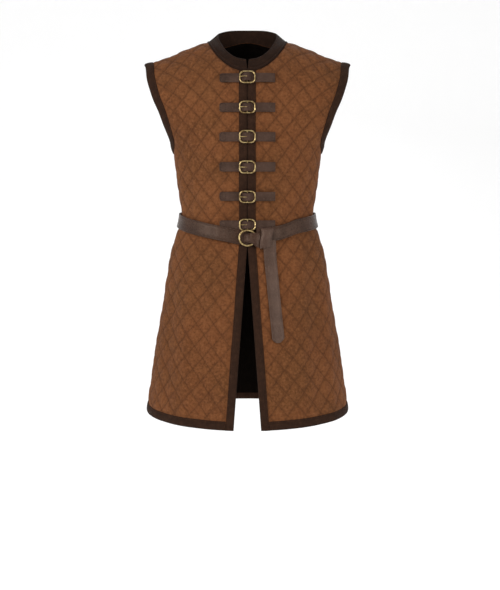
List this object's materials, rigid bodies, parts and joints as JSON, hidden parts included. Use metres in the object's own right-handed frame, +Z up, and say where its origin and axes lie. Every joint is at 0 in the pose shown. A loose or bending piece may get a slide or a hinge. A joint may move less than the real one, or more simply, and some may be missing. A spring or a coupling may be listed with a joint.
{
  "type": "gambeson vest",
  "caption": "Sleeveless quilted gambeson vest in worn form, with a stand collar, bound edges, buckled straps down the front and a knotted ring belt.",
  "frame": {"origin": "midway between the wearer's shoulders, level with the sides of the neck, where the shoulders hold the vest up", "axes": "+Z up; the front faces -Y; +X is the wearer's left"},
  "size_m": [0.4876, 0.3498, 0.9201],
  "materials": {
    "quilted_cloth": "matt woven cotton",
    "dark_trim": "matt woven cotton",
    "strap_leather": "worn satin",
    "belt_leather": "satin",
    "brass": "antique satin"
  },
  "bodies": {
    "root": {"front_left": "quilted_cloth", "front_right": "quilted_cloth", "back": "quilted_cloth", "collar": "dark_trim", "armhole_binding_left": "dark_trim", "armhole_binding_right": "dark_trim", "front_edge_binding_left": "dark_trim", "front_edge_binding_right": "dark_trim", "hem_binding_front_left": "dark_trim", "hem_binding_front_right": "dark_trim", "hem_binding_back": "dark_trim", "strap_1": "strap_leather", "strap_base_1": "strap_leather", "buckle_frame_1": "brass", "buckle_prong_1": "brass", "strap_2": "strap_leather", "strap_base_2": "strap_leather", "buckle_frame_2": "brass", "buckle_prong_2": "brass", "strap_3": "strap_leather", "strap_base_3": "strap_leather", "buckle_frame_3": "brass", "buckle_prong_3": "brass", "strap_4": "strap_leather", "strap_base_4": "strap_leather", "buckle_frame_4": "brass", "buckle_prong_4": "brass", "strap_5": "strap_leather", "strap_base_5": "strap_leather", "buckle_frame_5": "brass", "buckle_prong_5": "brass", "strap_6": "strap_leather", "strap_base_6": "strap_leather", "buckle_frame_6": "brass", "buckle_prong_6": "brass", "belt_band": "belt_leather", "belt_loop": "belt_leather", "belt_knot": "belt_leather", "belt_tail": "belt_leather", "belt_ring": "brass"}
  },
  "joints": []
}
